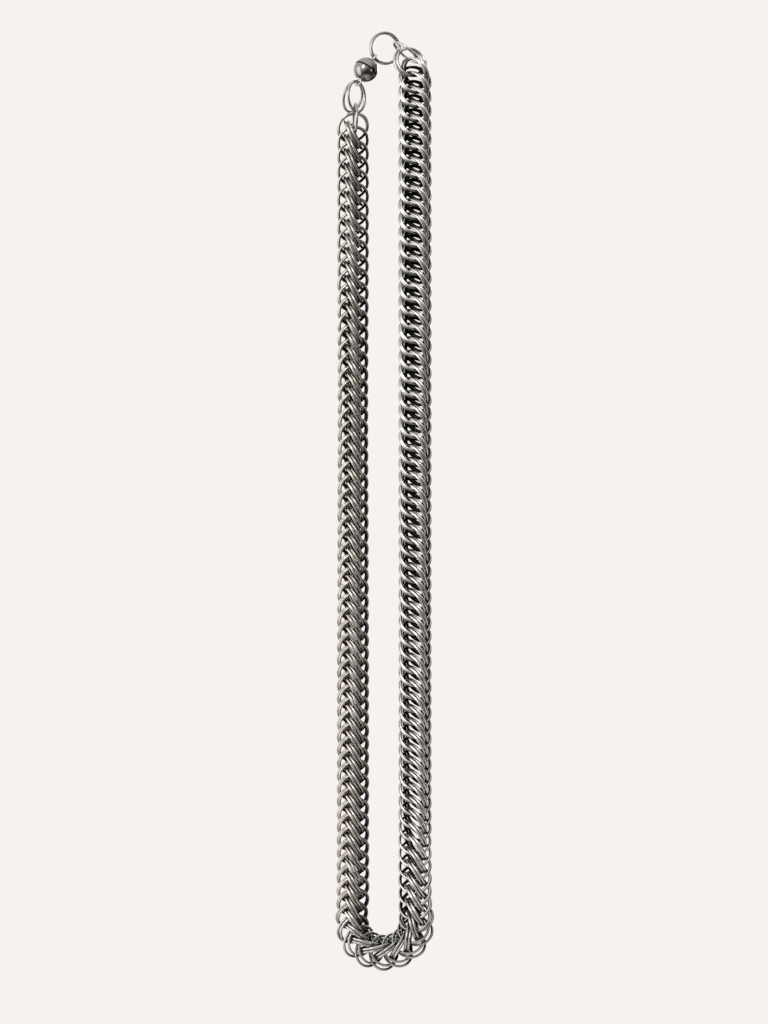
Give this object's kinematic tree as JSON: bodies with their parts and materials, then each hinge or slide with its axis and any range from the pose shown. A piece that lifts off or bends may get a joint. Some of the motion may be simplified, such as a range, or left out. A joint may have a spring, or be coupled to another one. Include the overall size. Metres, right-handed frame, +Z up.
{
  "type": "chainmaille necklace",
  "caption": "Hanging chainmaille necklace: a closed loop of densely woven round steel rings, with a small ball clasp near the top.",
  "frame": {"origin": "inside top of the hanging ring pair, where the necklace hangs", "axes": "+Z up along the hanging strands, +X to the strand without the clasp, +Y away from the viewer, through the flat of the loop"},
  "size_m": [0.0335, 0.0174, 0.3193],
  "materials": {
    "ring_steel": "polished round wire with light wear",
    "worn_steel": "polished round wire with grey brown tarnish",
    "clasp_steel": "dark polished ball with bright scuffs"
  },
  "bodies": {
    "root": {"hanging_ring_front": "ring_steel", "hanging_ring_back": "ring_steel", "clasp_upper": "clasp_steel", "clasp_lower": "clasp_steel", "lead_ring_front": "ring_steel", "lead_ring_back": "ring_steel", "left_link_ring": "ring_steel", "right_link_ring": "ring_steel", "right_strand_1": "ring_steel", "right_strand_2": "ring_steel", "right_strand_3": "ring_steel", "right_strand_4": "ring_steel", "right_strand_5": "ring_steel", "right_strand_6": "ring_steel", "right_strand_7": "ring_steel", "bend_1": "ring_steel", "bend_2": "ring_steel", "bend_3": "worn_steel", "left_strand_1": "worn_steel", "left_strand_2": "worn_steel", "left_strand_3": "worn_steel", "left_strand_4": "worn_steel", "left_strand_5": "worn_steel", "left_strand_6": "worn_steel", "left_strand_7": "worn_steel"}
  },
  "joints": []
}
